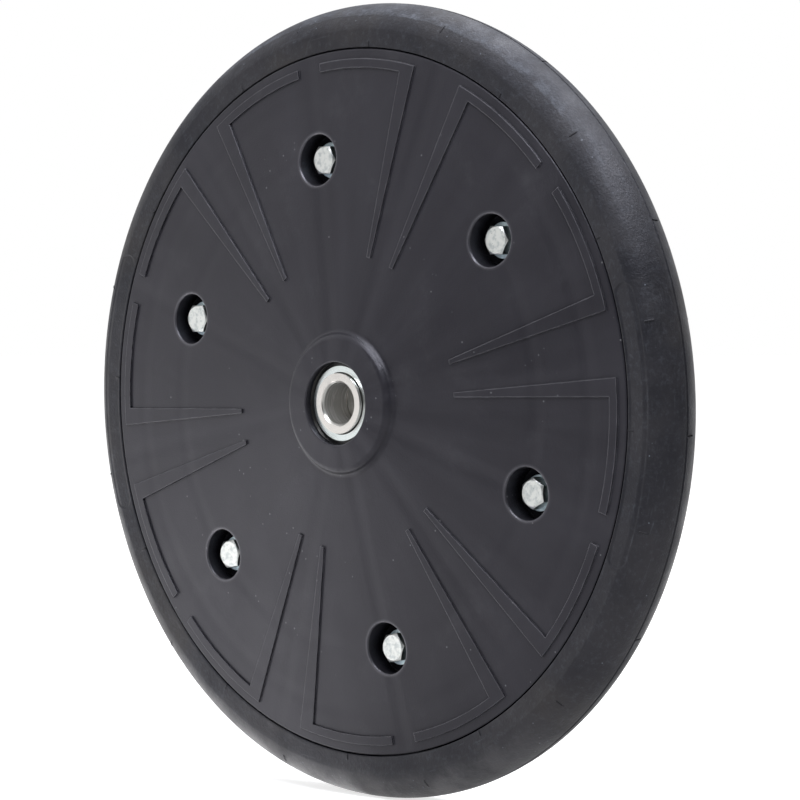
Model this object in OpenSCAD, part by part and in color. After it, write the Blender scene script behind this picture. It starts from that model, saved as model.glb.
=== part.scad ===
// Planter press wheel: two moulded half rims bolted round a flexible tyre, on two ball bearings.
// Millimetres. The axle runs along Y, the side with the bolt heads faces -Y and Z is up.

/* [Tyre] */
// Outside diameter of the tyre
tyre_d = 380; // [366:1:420]
// Width of the tyre over its sides
tyre_w = 32; // [28:0.5:40]
// Width of the flat along the crest
crest_w = 7.2; // [2:0.2:12]
// Radius of the groove along each side of the crest
crest_groove_r = 0.8; // [0.4:0.1:1.2]
// How far these grooves cut into the flat of the crest
crest_groove_lap = 0.1; // [0.05:0.05:0.3]
// How much the crown radius exceeds half the width
crown_extra = 0.4; // [0.1:0.1:3]
// Thickness of the rubber at the sides
tyre_wall = 7.5; // [5:0.5:9]
// Thickness of the rubber under the crest
crown_t = 9; // [6:0.5:12]
// Number of raised pads on each sidewall
pad_count = 2; // [1:1:4]
// Height of the pads
pad_h = 0.3; // [0.2:0.1:0.6]
// Width of the pads
pad_w = 10.4; // [6:0.2:12]
// How much the radius of a pad's round ends exceeds half its width
pad_blunt = 0.4; // [0.2:0.1:2]
// Distance of the pads from the inner edge of the sidewall
pad_inset = 0.8; // [0.4:0.1:3]
// Angle between the middles of a pad's round ends
pad_arc = 39.6; // [10:0.2:60]
// Turn of the first pad from the first bolt
pad_turn = -43; // [-90:0.5:90]

/* [Half rim] */
// How far the tyre stands out past the half rims
tyre_rise = 21.5; // [18:0.5:27]
// Open gap between the rim edge and the tyre
rim_gap = 0.5; // [0.3:0.1:1.5]
// Thickness of the flange that clamps the tyre
flange_t = 4; // [3:0.5:6]
// Radius of the rounded rim edge
edge_r = 1; // [0.4:0.1:1.5]
// Thickness of the disc
disc_t = 4; // [3:0.5:6]
// How far the disc rises from its edge to the hub boss
disc_rise = 11; // [6:0.5:14]
// Depth from the rim edge to the drum that the foot of the tyre sits on
channel_h = 18.5; // [15.5:0.5:23]
// Thickness of the drum wall
drum_wall = 4; // [3:0.5:6]
// Height of the ridge between the feet of the tyre
ridge_h = 12; // [8:0.5:14]
// Half width of the ridge
ridge_w = 5; // [3:0.5:6]
// Clearance round the foot of the tyre
foot_clear = 0.2; // [0.1:0.05:0.5]

/* [Hub] */
// Distance over the outer faces of the two bearings
bearing_span = 56; // [50:1:64]
// Thickness of the lip that holds a bearing in, at its hole
lip_t = 3.6; // [2:0.2:5]
// How far the lip reaches over the bearing
lip_reach = 3.7; // [2:0.1:4.5]
// Thickness of the hub tube round a bearing
hub_wall = 7; // [5:0.5:12]
// Radius of the rounded shoulder of the hub boss
boss_round = 3; // [1.5:0.25:5]
// Radius of the rounded edge of the lip
lip_round = 0.6; // [0.2:0.1:1]
// Radius of the fillet between the hub boss and the disc
boss_fillet = 2.5; // [0.5:0.25:4]

/* [Stiffening] */
// Thickness of the radial ribs inside
rib_t = 3; // [2:0.5:5]
// Number of radial ribs for each bolt
ribs_per_bolt = 2; // [1:1:3]
// Thickness of the ring rib through the bolt pillars
ring_t = 4; // [2:0.5:6]
// How far the ribs stop short of the joint between the halves
rib_back = 4; // [1:0.5:8]

/* [Raised ribs on the face] */
// Height of the raised ribs
strip_h = 0.9; // [0.3:0.1:1.5]
// Radius at which the legs start
strip_tip_r = 71; // [55:1:90]
// Width of a leg at its tip
strip_tip_w = 2.2; // [1:0.2:5]
// Width of a leg at its outer end
strip_end_w = 8.4; // [4:0.2:12]
// Distance of the arcs from the rim edge
strip_margin = 4.8; // [2.5:0.1:10]
// Width of the arcs
strip_arc_w = 4.3; // [2:0.1:8]
// Angle of the plain wedge between two legs
strip_wedge = 10.7; // [6:0.1:16]
// Angle between the ends of two arcs
strip_break = 5.3; // [3:0.1:12]

/* [Fasteners] */
// Number of bolts
bolt_count = 6; // [4:1:8]
// How far the bolt circle lies inside the drum
bolt_inset = 32; // [25:0.5:40]
// Nominal diameter of the bolts
bolt_d = 8; // [6:1:8]
// Length of the bolts under the head
bolt_len = 30; // [30:1:34]
// Clearance of the bolt in its holes
bolt_clear = 0.3; // [0.2:0.05:0.6]
// Size of the heads and nuts across flats
hex_af = 13; // [12:0.5:14]
// Height of the heads
head_h = 5.3; // [4:0.1:6]
// Diameter of the washers
washer_d = 17; // [16:0.5:20]
// Thickness of the washers
washer_t = 1.6; // [1:0.1:2.5]
// Height of the hex of the lock nuts
nut_hex_h = 5.6; // [4.5:0.1:7]
// Chamfer on the corners of the heads and nuts
hex_chamfer = 0.6; // [0.3:0.1:1.2]
// How far the nut's collar stands in from its flats
collar_inset = 0.5; // [0.2:0.1:1]
// Height of the lock nuts over all
nut_h = 8; // [7.5:0.1:10]
// Wall of the nut's collar round its nylon ring
collar_wall = 0.6; // [0.4:0.1:1]
// Height of the nylon ring
insert_h = 1.8; // [1:0.1:1.8]
// Running gap of a nut or ring on its bolt
thread_gap = 0.05; // [0.02:0.01:0.1]
// Diameter of the pockets that the heads and nuts sit in
pocket_d = 24.5; // [21:0.5:26]
// Radius of the rounded edge of the pockets
pocket_round = 1.6; // [0.5:0.1:2]
// Thickness of the pillar wall round a pocket
pillar_wall = 3.5; // [2:0.5:5]
// Thickness of the pocket floor
floor_t = 9.2; // [8:0.2:10]

/* [Bearings] */
// Bore
bore_d = 20; // [17:1:22]
// Outside diameter
bearing_d = 47; // [46:0.5:50]
// Width
bearing_w = 14; // [13:0.5:16]
// How far the inner ring stands out past the outer ring on each side
inner_extra = 1.5; // [0:0.25:4]
// Diameter of the balls
ball_d = 7.938; // [7:0.1:8]
// Number of balls in each bearing
ball_count = 8; // [7:1:8]
// Thickness of the inner ring at its lands
inner_wall = 4.4; // [3.8:0.1:4.8]
// Thickness of the outer ring at its lands
outer_wall = 4.3; // [3.6:0.1:4.6]
// Height of the step that holds a shield
shield_step = 1.1; // [0.8:0.1:1.8]
// Depth of that step
shield_seat_h = 1.8; // [1.4:0.1:1.8]
// Thickness of the shields
shield_t = 0.5; // [0.3:0.1:0.6]
// How far the face of a shield lies below the face of the ring
shield_drop = 0.5; // [0.3:0.1:0.6]
// Width of the clamped outer band of a shield
shield_band = 2.4; // [1.6:0.1:3]
// Gap between a shield and the inner ring
shield_gap = 0.5; // [0.2:0.1:0.8]
// Chamfer on the corners of the rings
ring_chamfer = 1; // [0.4:0.1:1]
// Clearance of the balls in the grooves
ball_clear = 0.05; // [0.02:0.01:0.1]
// Clearance of a bearing in its seat
seat_clear = 0.02; // [0.01:0.01:0.05]
// Thickness of the sheet of the cage
cage_t = 0.7; // [0.5:0.1:0.8]
// Width of the cage across the ball circle
cage_w = 2.4; // [1.8:0.1:3]
// Clearance of a ball in its cage pocket
cage_clear = 0.12; // [0.05:0.01:0.2]
// Diameter of the cage rivets
rivet_d = 1.2; // [0.8:0.1:1.4]
// Clearance of the rivets in their holes
rivet_gap = 0.02; // [0.01:0.01:0.05]
// Diameter of the rivet heads
rivet_head_d = 2; // [1.6:0.1:2.2]
// Height of the rivet heads
rivet_head_h = 0.4; // [0.2:0.1:0.6]
// Wall of the spacer tube between the inner rings
spacer_wall = 3; // [2:0.25:4]
// Clearance of the axle in the spacer tube
spacer_clear = 0.01; // [0.01:0.01:0.1]

/* [Pose] */
// Angle of the first bolt from the horizontal as the wheel stands
rest_turn = 41.2; // [0:0.2:60]
// Turn of the bolt heads from the horizontal, as they were tightened
head_turns = [0, 1, 1, 12, 12, 30]; // [0:1:60]

/* [Hidden] */
$fn = 96;
eps = 0.01;

nylon = [0.17, 0.17, 0.18];
rubber = [0.11, 0.11, 0.12];
zinc = [0.80, 0.82, 0.84];
steel = [0.72, 0.74, 0.77];
cage_steel = [0.62, 0.60, 0.55];
insert_white = [0.85, 0.86, 0.80];

// Tyre section
tyre_r = tyre_d / 2;
side_z = tyre_w / 2;
crown_r = side_z + crown_extra;
crown_centre = tyre_r - sqrt(crown_r * crown_r - crest_w * crest_w / 4);
crest_groove_turn = asin((crest_w / 2 + crest_groove_r - crest_groove_lap) / crown_r);
hollow_r = side_z - tyre_wall;
hollow_centre = tyre_r - crown_t - hollow_r;

// Half rim section: r from the axle, z from the joint between the halves
rim_r = tyre_r - tyre_rise;
drum_r = rim_r - channel_h;
flange_z = side_z - flange_t;
ridge_r = drum_r + ridge_h;
tyre_in_r = rim_r + rim_gap;
pad_mid_r = tyre_in_r + pad_inset + pad_w / 2;
bearing_z = bearing_span / 2;
bearing_mid = bearing_z - bearing_w / 2;
seat_r = bearing_d / 2 + seat_clear;
lip_r = bearing_d / 2 - lip_reach;
hub_r = seat_r + hub_wall;
hub_z = bearing_z + lip_t;
boss_r = hub_r + boss_round;
disc_slope = disc_rise / (rim_r - boss_r);
disc_tilt = atan(disc_slope);
function disc_z(r) = side_z + (rim_r - r) * disc_slope;

// The face of the hub slopes as the disc does, and runs into the rounded shoulder of the boss
function face_z(r) = hub_z - (r - lip_r) * disc_slope;
shoulder_z = face_z(hub_r) - boss_round / cos(disc_tilt);
face_end_r = hub_r + boss_round * sin(disc_tilt);

// Centre of the boss fillet, which touches both the rounded shoulder and the sloping disc
fillet_rise = disc_z(hub_r) + boss_fillet / cos(disc_tilt) - shoulder_z;
fillet_reach = boss_round + boss_fillet;
slope_sq = 1 + disc_slope * disc_slope;
fillet_run = (fillet_rise * disc_slope
    + sqrt(slope_sq * fillet_reach * fillet_reach - fillet_rise * fillet_rise)) / slope_sq;
fillet_r = hub_r + fillet_run;
fillet_z = shoulder_z + fillet_rise - disc_slope * fillet_run;
fillet_foot_r = fillet_r - boss_fillet * sin(disc_tilt);

// Arcs of the raised ribs
strip_out_r = rim_r - strip_margin;
strip_in_r = strip_out_r - strip_arc_w;

// Bolts, pockets and pillars
bolt_circle_r = drum_r - bolt_inset;
bolt_step = 360 / bolt_count;
bolt_r = bolt_d / 2;
hole_r = bolt_r + bolt_clear;
pocket_r = pocket_d / 2;
pocket_set = 0.88 * pocket_round;
pillar_r = pocket_r + pillar_wall;
seat_z = floor_t + washer_t;
hex_r = hex_af / sqrt(3);
collar_r = hex_af / 2 - collar_inset;

// Ball bearings
bore_r = bore_d / 2;
ball_r = ball_d / 2;
inner_land_d = bore_d + 2 * inner_wall;
outer_land_d = bearing_d - 2 * outer_wall;
shield_seat_d = outer_land_d + 2 * shield_step;
pitch_r = (inner_land_d + outer_land_d) / 4;
groove_r = ball_r + ball_clear;
half_w = bearing_w / 2;
shield_z = half_w - shield_seat_h;
pocket_ball_r = ball_r + cage_clear;

// Puts a shape made round the local Z axis onto the axle, as the wheel stands
module on_axle() {
    rotate([90, 0, 0])
        rotate([0, 0, rest_turn])
            children();
}

// Turns a shape of the front half round to the rear half
module at_rear() {
    mirror([0, 0, 1])
        children();
}

// One copy at each bolt
module at_bolts() {
    for (i = [0 : bolt_count - 1])
        rotate([0, 0, i * bolt_step])
            translate([bolt_circle_r, 0, 0])
                children();
}

// Flat ring section between two radii and two heights
module band(r1, r2, z1, z2) {
    translate([r1, z1])
        square([r2 - r1, z2 - z1]);
}

// Solid ring between two radii and two heights
module ring(r1, r2, z1, z2) {
    rotate_extrude()
        band(r1, r2, z1, z2);
}

// Tyre

module tyre_section() {
    difference() {
        intersection() {
            union() {
                translate([crown_centre, 0])
                    circle(r = crown_r);
                band(tyre_in_r, crown_centre, -side_z, side_z);
                band(drum_r + foot_clear, crown_centre, foot_clear - flange_z, flange_z - foot_clear);
            }
            band(drum_r + foot_clear, tyre_r, -side_z, side_z);
        }
        for (side = [-1, 1])
            translate([crown_centre, 0])
                rotate(side * crest_groove_turn)
                    translate([crown_r, 0])
                        circle(r = crest_groove_r);
        translate([hollow_centre, 0])
            circle(r = hollow_r);
        band(0, hollow_centre, -ridge_w - foot_clear, ridge_w + foot_clear);
        band(0, tyre_in_r, flange_z - foot_clear, crown_r);
        band(0, tyre_in_r, -crown_r, foot_clear - flange_z);
    }
}

// Outline of one raised pad, with round ends
module pad_outline() {
    half_arc = pad_arc / 2;
    far_r = 2 * tyre_r;
    intersection() {
        difference() {
            circle(r = pad_mid_r + pad_w / 2);
            circle(r = pad_mid_r - pad_w / 2);
        }
        union() {
            polygon([
                [0, 0],
                far_r * [cos(half_arc), -sin(half_arc)],
                far_r * [cos(half_arc), sin(half_arc)]
            ]);
            for (side = [-1, 1])
                rotate(side * half_arc)
                    translate([pad_mid_r, 0])
                        circle(r = pad_w / 2 + pad_blunt);
        }
    }
}

// Pads of one sidewall: their outlines carried onto a thin layer that follows the rubber
module tyre_pads() {
    intersection() {
        rotate_extrude()
            intersection() {
                union() {
                    translate([crown_centre, 0])
                        circle(r = crown_r + pad_h);
                    band(rim_r, crown_centre, 0, side_z + pad_h);
                }
                band(rim_r, tyre_r, side_z - tyre_wall / 2, side_z + pad_h);
            }
        linear_extrude(height = tyre_w)
            for (i = [0 : pad_count - 1])
                rotate(pad_turn + i * 360 / pad_count)
                    pad_outline();
    }
}

module tyre() {
    color(rubber)
        on_axle() {
            rotate_extrude()
                tyre_section();
            tyre_pads();
            at_rear()
                tyre_pads();
        }
}

// Half rim

// Region under the disc's outer face, down to height z
module under_disc(r1, r2, z, depth) {
    polygon([[r1, z], [r2, z], [r2, disc_z(r2) - depth], [r1, disc_z(r1) - depth]]);
}

// Section of the disc from the hub to its rounded edge
module disc_section() {
    difference() {
        polygon([
            [hub_r - hub_wall / 2, disc_z(hub_r - hub_wall / 2)],
            [rim_r - edge_r, disc_z(rim_r - edge_r)],
            [rim_r - edge_r, flange_z],
            [drum_r, flange_z],
            [drum_r - drum_wall / 2, disc_z(drum_r) - disc_t],
            [hub_r - hub_wall / 2, disc_z(hub_r) - disc_t]
        ]);
        band(0, seat_r, 0, hub_z);
    }
    translate([rim_r - edge_r, disc_z(rim_r - edge_r) - edge_r])
        circle(r = edge_r);
    band(rim_r - 2 * edge_r, rim_r, flange_z, disc_z(rim_r - edge_r) - edge_r);
}

// Section of the fillet that runs from the shoulder of the boss out onto the disc
module fillet_section() {
    difference() {
        polygon([
            [hub_r, shoulder_z],
            [fillet_r, fillet_z],
            [fillet_foot_r, disc_z(fillet_foot_r)],
            [fillet_foot_r, disc_z(fillet_foot_r) - disc_t / 2],
            [hub_r, disc_z(fillet_foot_r) - disc_t / 2]
        ]);
        translate([fillet_r, fillet_z])
            circle(r = boss_fillet);
    }
}

// Section of the hub tube with its lip and rounded boss
module hub_section() {
    difference() {
        union() {
            band(seat_r, hub_r, 0, shoulder_z);
            polygon([
                [lip_r, bearing_z],
                [seat_r, bearing_z],
                [seat_r, shoulder_z],
                [hub_r, shoulder_z],
                [face_end_r, face_z(face_end_r)],
                [lip_r, hub_z]
            ]);
            translate([hub_r, shoulder_z])
                circle(r = boss_round);
        }
        translate([lip_r + lip_round, face_z(lip_r + lip_round) - lip_round])
            difference() {
                translate([-lip_round, 0])
                    square([lip_round, 2 * lip_round]);
                circle(r = lip_round);
            }
        band(0, seat_r, 0, bearing_z);
    }
    fillet_section();
}

// Section of the drum, with its half of the ridge between the feet of the tyre
module drum_section() {
    under_disc(drum_r - drum_wall, drum_r, 0, disc_t / 2);
    band(drum_r - drum_wall / 2, ridge_r, 0, ridge_w);
}

module rim_shell() {
    rotate_extrude() {
        disc_section();
        hub_section();
        drum_section();
        under_disc(bolt_circle_r - ring_t / 2, bolt_circle_r + ring_t / 2, rib_back, disc_t / 2);
    }
}

module rim_ribs() {
    rib_count = bolt_count * ribs_per_bolt;
    rib_in = hub_r - hub_wall / 2;
    rib_out = drum_r - drum_wall / 2;
    intersection() {
        rotate_extrude()
            under_disc(rib_in, rib_out, rib_back, disc_t / 2);
        for (i = [0 : rib_count - 1])
            rotate([0, 0, i * 360 / rib_count])
                translate([0, -rib_t / 2, 0])
                    cube([drum_r, rib_t, hub_z]);
    }
}

module rim_pillars() {
    intersection() {
        rotate_extrude()
            under_disc(hub_r, drum_r, 0, disc_t / 2);
        at_bolts()
            cylinder(r = pillar_r, h = hub_z);
    }
}

// Hole, pocket and rounded pocket edge, square to the sloping face
module pocket_cuts() {
    at_bolts() {
        translate([0, 0, -eps])
            cylinder(r = hole_r, h = hub_z);
        translate([0, 0, floor_t])
            cylinder(r = pocket_r, h = hub_z);
        translate([0, 0, disc_z(bolt_circle_r)])
            rotate([0, disc_tilt, 0])
                rotate_extrude()
                    difference() {
                        band(0, pocket_r + pocket_set, -pocket_set, pocket_round);
                        translate([pocket_r + pocket_set, -pocket_set])
                            circle(r = pocket_round);
                    }
    }
}

// Outline of one raised rib, open at its outer end: a leg beside the plain wedge and an arc towards the bolt
module strip_outline() {
    edge_angle = bolt_step / 2 - strip_wedge / 2;
    leg_angle = edge_angle - atan(strip_end_w / 2 / strip_out_r);
    far_r = 2 * rim_r;
    rotate(edge_angle)
        polygon([
            [strip_tip_r, 0],
            [rim_r, 0],
            [rim_r, -strip_end_w],
            [strip_in_r, -strip_end_w],
            [strip_tip_r, -strip_tip_w]
        ]);
    difference() {
        polygon([
            [0, 0],
            far_r * [cos(leg_angle), sin(leg_angle)],
            far_r * [cos(strip_break / 2), sin(strip_break / 2)]
        ]);
        circle(r = strip_in_r);
    }
}

// Raised ribs: their outlines carried onto a thin layer of the sloping face
module rim_strips() {
    sunk = disc_t / 4;
    intersection() {
        rotate_extrude()
            polygon([
                [boss_r, disc_z(boss_r) - sunk],
                [strip_out_r, disc_z(strip_out_r) - sunk],
                [strip_out_r, disc_z(strip_out_r) + strip_h],
                [boss_r, disc_z(boss_r) + strip_h]
            ]);
        linear_extrude(height = 2 * hub_z)
            for (i = [0 : bolt_count - 1])
                rotate(i * bolt_step) {
                    strip_outline();
                    mirror([0, 1])
                        strip_outline();
                }
    }
}

module half_rim() {
    difference() {
        union() {
            rim_shell();
            rim_ribs();
            rim_pillars();
            rim_strips();
        }
        pocket_cuts();
    }
}

module front_half_rim() {
    color(nylon)
        on_axle()
            half_rim();
}

module rear_half_rim() {
    color(nylon)
        on_axle()
            at_rear()
                half_rim();
}

// Fasteners

// Hexagon with its top corners turned off
module hex_block(height) {
    intersection() {
        cylinder(r = hex_r, h = height, $fn = 6);
        rotate_extrude()
            polygon([
                [0, 0],
                [hex_r, 0],
                [hex_r, height - hex_chamfer],
                [hex_af / 2 - hex_chamfer / 2, height],
                [0, height]
            ]);
    }
}

// Turn of a bolt head in its own pocket
function head_turn(i) = head_turns[i % len(head_turns)] - rest_turn - i * bolt_step;

module hex_bolts() {
    color(zinc)
        on_axle()
            for (i = [0 : bolt_count - 1])
                rotate([0, 0, i * bolt_step])
                    translate([bolt_circle_r, 0, seat_z])
                        rotate([0, 0, head_turn(i)]) {
                            hex_block(head_h);
                            translate([0, 0, -bolt_len])
                                cylinder(r = bolt_r, h = bolt_len + eps);
                        }
}

module washer_set() {
    at_bolts()
        ring(hole_r, washer_d / 2, floor_t, seat_z);
}

module front_washers() {
    color(zinc)
        on_axle()
            washer_set();
}

module rear_washers() {
    color(zinc)
        on_axle()
            at_rear()
                washer_set();
}

module lock_nuts() {
    color(zinc)
        on_axle()
            at_rear()
                at_bolts()
                    translate([0, 0, seat_z])
                        difference() {
                            union() {
                                hex_block(nut_hex_h);
                                cylinder(r = collar_r, h = nut_h);
                            }
                            translate([0, 0, -eps])
                                cylinder(r = bolt_r + thread_gap, h = 2 * nut_h);
                            translate([0, 0, nut_h - insert_h - collar_wall])
                                cylinder(r = collar_r - collar_wall, h = insert_h);
                        }
}

module lock_nut_inserts() {
    color(insert_white)
        on_axle()
            at_rear()
                at_bolts()
                    translate([0, 0, seat_z + nut_h - collar_wall])
                        ring(bolt_r + thread_gap, collar_r - collar_wall, -insert_h, 0);
}

// Bearings, each made round its own middle with the outward side up

module outer_ring() {
    out_r = bearing_d / 2;
    rotate_extrude()
        difference() {
            polygon([
                [outer_land_d / 2, -half_w],
                [out_r - ring_chamfer, -half_w],
                [out_r, ring_chamfer - half_w],
                [out_r, half_w - ring_chamfer],
                [out_r - ring_chamfer, half_w],
                [outer_land_d / 2, half_w]
            ]);
            translate([pitch_r, 0])
                circle(r = groove_r);
            band(0, shield_seat_d / 2, shield_z, bearing_w);
            band(0, shield_seat_d / 2, -bearing_w, -shield_z);
        }
}

module inner_ring() {
    end_z = half_w + inner_extra;
    rotate_extrude()
        difference() {
            polygon([
                [bore_r + ring_chamfer, -end_z],
                [inner_land_d / 2, -end_z],
                [inner_land_d / 2, end_z],
                [bore_r + ring_chamfer, end_z],
                [bore_r, end_z - ring_chamfer],
                [bore_r, ring_chamfer - end_z]
            ]);
            translate([pitch_r, 0])
                circle(r = groove_r);
        }
}

// One copy at each ball
module at_balls() {
    for (i = [0 : ball_count - 1])
        rotate([0, 0, i * 360 / ball_count])
            translate([pitch_r, 0, 0])
                children();
}

module balls() {
    at_balls()
        sphere(r = ball_r);
}

// Short drum across the ball circle, round each ball
module ball_windows(radius) {
    at_balls()
        rotate([0, 90, 0])
            cylinder(r = radius, h = 2 * cage_w, center = true);
}

// One pressed half of the cage: a flat ribbon that bulges over each ball
module cage_half() {
    in_r = pitch_r - cage_w / 2;
    out_r = pitch_r + cage_w / 2;
    difference() {
        union() {
            ring(in_r, out_r, 0, cage_t);
            intersection() {
                ring(in_r, out_r, 0, half_w);
                ball_windows(pocket_ball_r + cage_t);
            }
        }
        ball_windows(pocket_ball_r);
        rotate([0, 0, 180 / ball_count])
            at_balls()
                translate([0, 0, -eps])
                    cylinder(d = rivet_d + 2 * rivet_gap, h = half_w);
    }
}

module cage_rivets() {
    rotate([0, 0, 180 / ball_count])
        at_balls() {
            cylinder(d = rivet_d, h = 2 * cage_t, center = true);
            translate([0, 0, cage_t])
                cylinder(d = rivet_head_d, h = rivet_head_h);
            translate([0, 0, -cage_t - rivet_head_h])
                cylinder(d = rivet_head_d, h = rivet_head_h);
        }
}

// Pressed shield: a band clamped in the outer ring and a raised face round the inner ring
module shield() {
    out_r = shield_seat_d / 2 - seat_clear;
    step_r = out_r - shield_band;
    face_z = half_w - shield_drop;
    rotate_extrude() {
        band(step_r - shield_t, out_r, shield_z, shield_z + shield_t);
        band(step_r - shield_t, step_r, shield_z, face_z);
        band(inner_land_d / 2 + shield_gap, step_r, face_z - shield_t, face_z);
    }
}

// Carries a bearing piece to the front bearing
module in_front() {
    on_axle()
        translate([0, 0, bearing_mid])
            children();
}

// Carries a bearing piece to the rear bearing, outward side out
module in_rear() {
    on_axle()
        at_rear()
            translate([0, 0, bearing_mid])
                children();
}

module bearing_spacer() {
    length = bearing_mid - half_w - inner_extra;
    spacer_r = bore_r + spacer_clear;
    color(steel)
        on_axle()
            ring(spacer_r, spacer_r + spacer_wall, -length, length);
}

module front_outer_ring() {
    color(steel)
        in_front()
            outer_ring();
}

module front_inner_ring() {
    color(steel)
        in_front()
            inner_ring();
}

module front_balls() {
    color(zinc)
        in_front()
            balls();
}

module front_cage_outer_half() {
    color(cage_steel)
        in_front()
            cage_half();
}

module front_cage_inner_half() {
    color(cage_steel)
        in_front()
            at_rear()
                cage_half();
}

module front_cage_rivets() {
    color(steel)
        in_front()
            cage_rivets();
}

module front_outer_shield() {
    color(steel)
        in_front()
            shield();
}

module front_inner_shield() {
    color(steel)
        in_front()
            at_rear()
                shield();
}

module rear_outer_ring() {
    color(steel)
        in_rear()
            outer_ring();
}

module rear_inner_ring() {
    color(steel)
        in_rear()
            inner_ring();
}

module rear_balls() {
    color(zinc)
        in_rear()
            balls();
}

module rear_cage_outer_half() {
    color(cage_steel)
        in_rear()
            cage_half();
}

module rear_cage_inner_half() {
    color(cage_steel)
        in_rear()
            at_rear()
                cage_half();
}

module rear_cage_rivets() {
    color(steel)
        in_rear()
            cage_rivets();
}

module rear_outer_shield() {
    color(steel)
        in_rear()
            shield();
}

module rear_inner_shield() {
    color(steel)
        in_rear()
            at_rear()
                shield();
}

front_half_rim();
rear_half_rim();
tyre();
hex_bolts();
front_washers();
rear_washers();
lock_nuts();
lock_nut_inserts();
bearing_spacer();
front_outer_ring();
front_inner_ring();
front_balls();
front_cage_outer_half();
front_cage_inner_half();
front_cage_rivets();
front_outer_shield();
front_inner_shield();
rear_outer_ring();
rear_inner_ring();
rear_balls();
rear_cage_outer_half();
rear_cage_inner_half();
rear_cage_rivets();
rear_outer_shield();
rear_inner_shield();
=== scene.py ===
"""Looks of the planter press wheel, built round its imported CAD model.

Lengths are in metres in the CAD frame: the axle runs along Y, the side with the bolt heads faces -Y
and Z is up. Angles on the wheel are in degrees from +X towards +Z, as seen from the front.
"""

import logging
import math
from collections.abc import Sequence
from dataclasses import dataclass, field
from enum import Enum
from functools import cached_property, reduce

import bmesh
import bpy
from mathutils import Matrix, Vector


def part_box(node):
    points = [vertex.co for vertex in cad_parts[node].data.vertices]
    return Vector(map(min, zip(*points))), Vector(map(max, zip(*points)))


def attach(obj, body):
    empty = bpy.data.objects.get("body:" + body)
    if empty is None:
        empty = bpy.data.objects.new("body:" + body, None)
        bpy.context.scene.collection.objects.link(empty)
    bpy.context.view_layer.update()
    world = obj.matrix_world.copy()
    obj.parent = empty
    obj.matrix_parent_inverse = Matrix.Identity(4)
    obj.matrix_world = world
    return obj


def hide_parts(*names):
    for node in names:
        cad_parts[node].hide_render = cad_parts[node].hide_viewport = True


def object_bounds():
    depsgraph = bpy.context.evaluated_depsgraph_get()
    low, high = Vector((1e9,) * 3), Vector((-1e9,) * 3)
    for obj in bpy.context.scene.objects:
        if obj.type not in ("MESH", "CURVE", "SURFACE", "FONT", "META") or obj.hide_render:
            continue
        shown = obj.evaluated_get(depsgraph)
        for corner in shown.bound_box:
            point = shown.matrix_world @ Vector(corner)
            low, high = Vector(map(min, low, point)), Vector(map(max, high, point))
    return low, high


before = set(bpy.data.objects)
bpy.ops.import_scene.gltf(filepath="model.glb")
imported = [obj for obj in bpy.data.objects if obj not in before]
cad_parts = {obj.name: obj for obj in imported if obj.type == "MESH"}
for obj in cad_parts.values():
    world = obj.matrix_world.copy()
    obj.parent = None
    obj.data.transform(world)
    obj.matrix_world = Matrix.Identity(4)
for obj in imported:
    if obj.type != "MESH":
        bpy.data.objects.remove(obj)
cad_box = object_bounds()

MM = 0.001
FULL_TURN = 360.0
LOG = logging.getLogger("press_wheel")

# Rays that each sample spends on rounded edges and on the openness of hollows
RAY_SAMPLES = 4
# Likeness of the plain and the rounded normal where an edge starts and where it is strongest
EDGE_LIKENESS = (0.995, 0.85)
# Weight of the place along the axle beside the radius, in patterns that run round the wheel
AXLE_WEIGHT = 0.7
# Middle part of a noise's range
MID_SPAN = (0.3, 0.7)

Socket = bpy.types.NodeSocket
Colour = tuple[float, float, float]
Point = tuple[float, float]
Span = tuple[float, float]


class Side(Enum):
    """The two sides of the wheel, as the names of the CAD nodes spell them."""

    FRONT = "front"
    REAR = "rear"


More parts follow.
